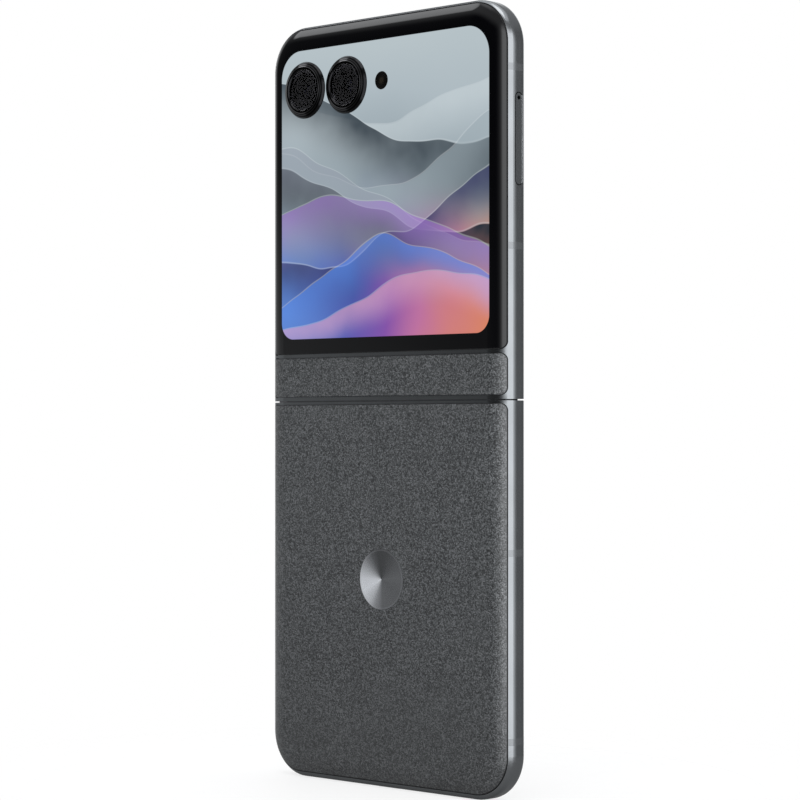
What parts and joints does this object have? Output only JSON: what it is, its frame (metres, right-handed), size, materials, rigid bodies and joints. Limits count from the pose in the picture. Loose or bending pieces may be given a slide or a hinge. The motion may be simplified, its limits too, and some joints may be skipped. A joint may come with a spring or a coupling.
{
  "type": "foldable smartphone",
  "caption": "Clamshell folding phone, open: flexible inner screen on a geared hinge, cover screen and ringed cameras outside, leather-look back, side buttons and card tray.",
  "frame": {"origin": "middle of the bottom edge of the open phone, half way through its thickness", "axes": "+Z along the open phone towards the half with the cameras, +Y out of the outer face with the cover screen and badge, +X towards the side with the buttons"},
  "size_m": [0.0743, 0.0083, 0.1713],
  "materials": {
    "frame_metal": "satin",
    "leather": "fine grain",
    "polished_badge": "mirror polished",
    "antenna_plastic": "matte",
    "rim_plastic": "satin",
    "screen": "glossy film",
    "steel": "brushed",
    "magnesium": "cast, satin",
    "battery_wrap": "matte",
    "copper": "bare coil",
    "ferrite": "matte sheet",
    "black_plastic": "matte",
    "board_green": "solder mask",
    "gold": "plated",
    "polyimide": "flexible film",
    "cover_glass": "glossy black-backed glass",
    "cover_display": "lit panel",
    "camera_black": "satin",
    "lens_glass": "coated",
    "flash_glass": "clear",
    "button_metal": "satin"
  },
  "bodies": {
    "lower_half": {"lower_frame": "frame_metal", "lower_chassis": "magnesium", "lower_back_panel": "leather", "back_badge": "polished_badge", "lower_antenna_bands": "antenna_plastic", "lower_bezel": "rim_plastic", "display_lower": "screen", "lower_display_plate": "steel", "lower_battery": "battery_wrap", "charging_coil": "copper", "coil_ferrite": "ferrite", "usb_socket_shell": "steel", "usb_socket_tongue": "black_plastic", "usb_board": "board_green", "loudspeaker": "black_plastic", "speaker_mesh": "steel", "vibration_motor": "steel", "bottom_microphone": "gold", "board_flex_cable": "polyimide", "lower_hinge_arms": "steel", "lower_screws": "steel"},
    "hinge_spine": {"spine_cover": "frame_metal", "hinge_brackets": "steel", "hinge_pins": "steel", "friction_washers": "gold", "display_fold": "screen", "hinge_flex_cables": "polyimide"},
    "lower_idlers": {"lower_idler_gears": "steel"},
    "upper_idlers": {"upper_idler_gears": "steel"},
    "upper_half": {"upper_frame": "frame_metal", "upper_chassis": "magnesium", "cover_glass": "cover_glass", "cover_display": "cover_display", "strip_panel": "leather", "main_camera_ring": "camera_black", "wide_camera_ring": "camera_black", "main_camera_window": "lens_glass", "wide_camera_window": "lens_glass", "main_camera_module": "black_plastic", "wide_camera_module": "black_plastic", "flash_window": "flash_glass", "flash_lamp": "flash_glass", "upper_antenna_bands": "antenna_plastic", "upper_bezel": "rim_plastic", "display_upper": "screen", "upper_display_plate": "steel", "front_camera": "black_plastic", "earpiece": "black_plastic", "main_board": "board_green", "shield_cans": "steel", "upper_battery": "battery_wrap", "upper_hinge_arms": "steel", "upper_screws": "steel", "card_reader": "steel", "button_switches": "polyimide", "top_microphone": "gold"},
    "power_key": {"power_button": "button_metal"},
    "volume_key": {"volume_rocker": "button_metal"},
    "tray": {"card_tray": "frame_metal", "sim_card": "gold"}
  },
  "joints": [
    {"name": "fold_lower", "type": "hinge", "parent": "lower_half", "child": "hinge_spine", "pos_m": [0, -0.00208, 0.08342], "axis": [1, 0, 0], "range_deg": [0, 90], "deforming": ["display_fold", "hinge_flex_cables"]},
    {"name": "fold_upper", "type": "hinge", "parent": "hinge_spine", "child": "upper_half", "pos_m": [0, -0.00208, 0.08787], "axis": [1, 0, 0], "range_deg": [0, 90]},
    {"name": "idler_lower", "type": "hinge", "parent": "hinge_spine", "child": "lower_idlers", "pos_m": [0, -0.00208, 0.08491], "axis": [1, 0, 0], "range_deg": [0, 90]},
    {"name": "idler_upper", "type": "hinge", "parent": "hinge_spine", "child": "upper_idlers", "pos_m": [0, -0.00208, 0.08639], "axis": [1, 0, 0], "range_deg": [-90, 0]},
    {"name": "power_press", "type": "slide", "parent": "upper_half", "child": "power_key", "axis": [-1, 0, 0], "range_m": [0, 0.00025], "stiffness_N_per_m": 3000},
    {"name": "volume_rock", "type": "hinge", "parent": "upper_half", "child": "volume_key", "pos_m": [0.03487, -0.00032, 0.1445], "axis": [0, 1, 0], "range_deg": [-1.2, 1.2], "stiffness_Nm_per_rad": 0.15},
    {"name": "sim_tray_slide", "type": "slide", "parent": "upper_half", "child": "tray", "axis": [-1, 0, 0], "range_m": [0, 0.0185]}
  ],
  "couplings": [
    {"joint": "fold_upper", "follows": "fold_lower", "ratio": 1},
    {"joint": "idler_lower", "follows": "fold_lower", "ratio": 1},
    {"joint": "idler_upper", "follows": "fold_lower", "ratio": -1}
  ]
}
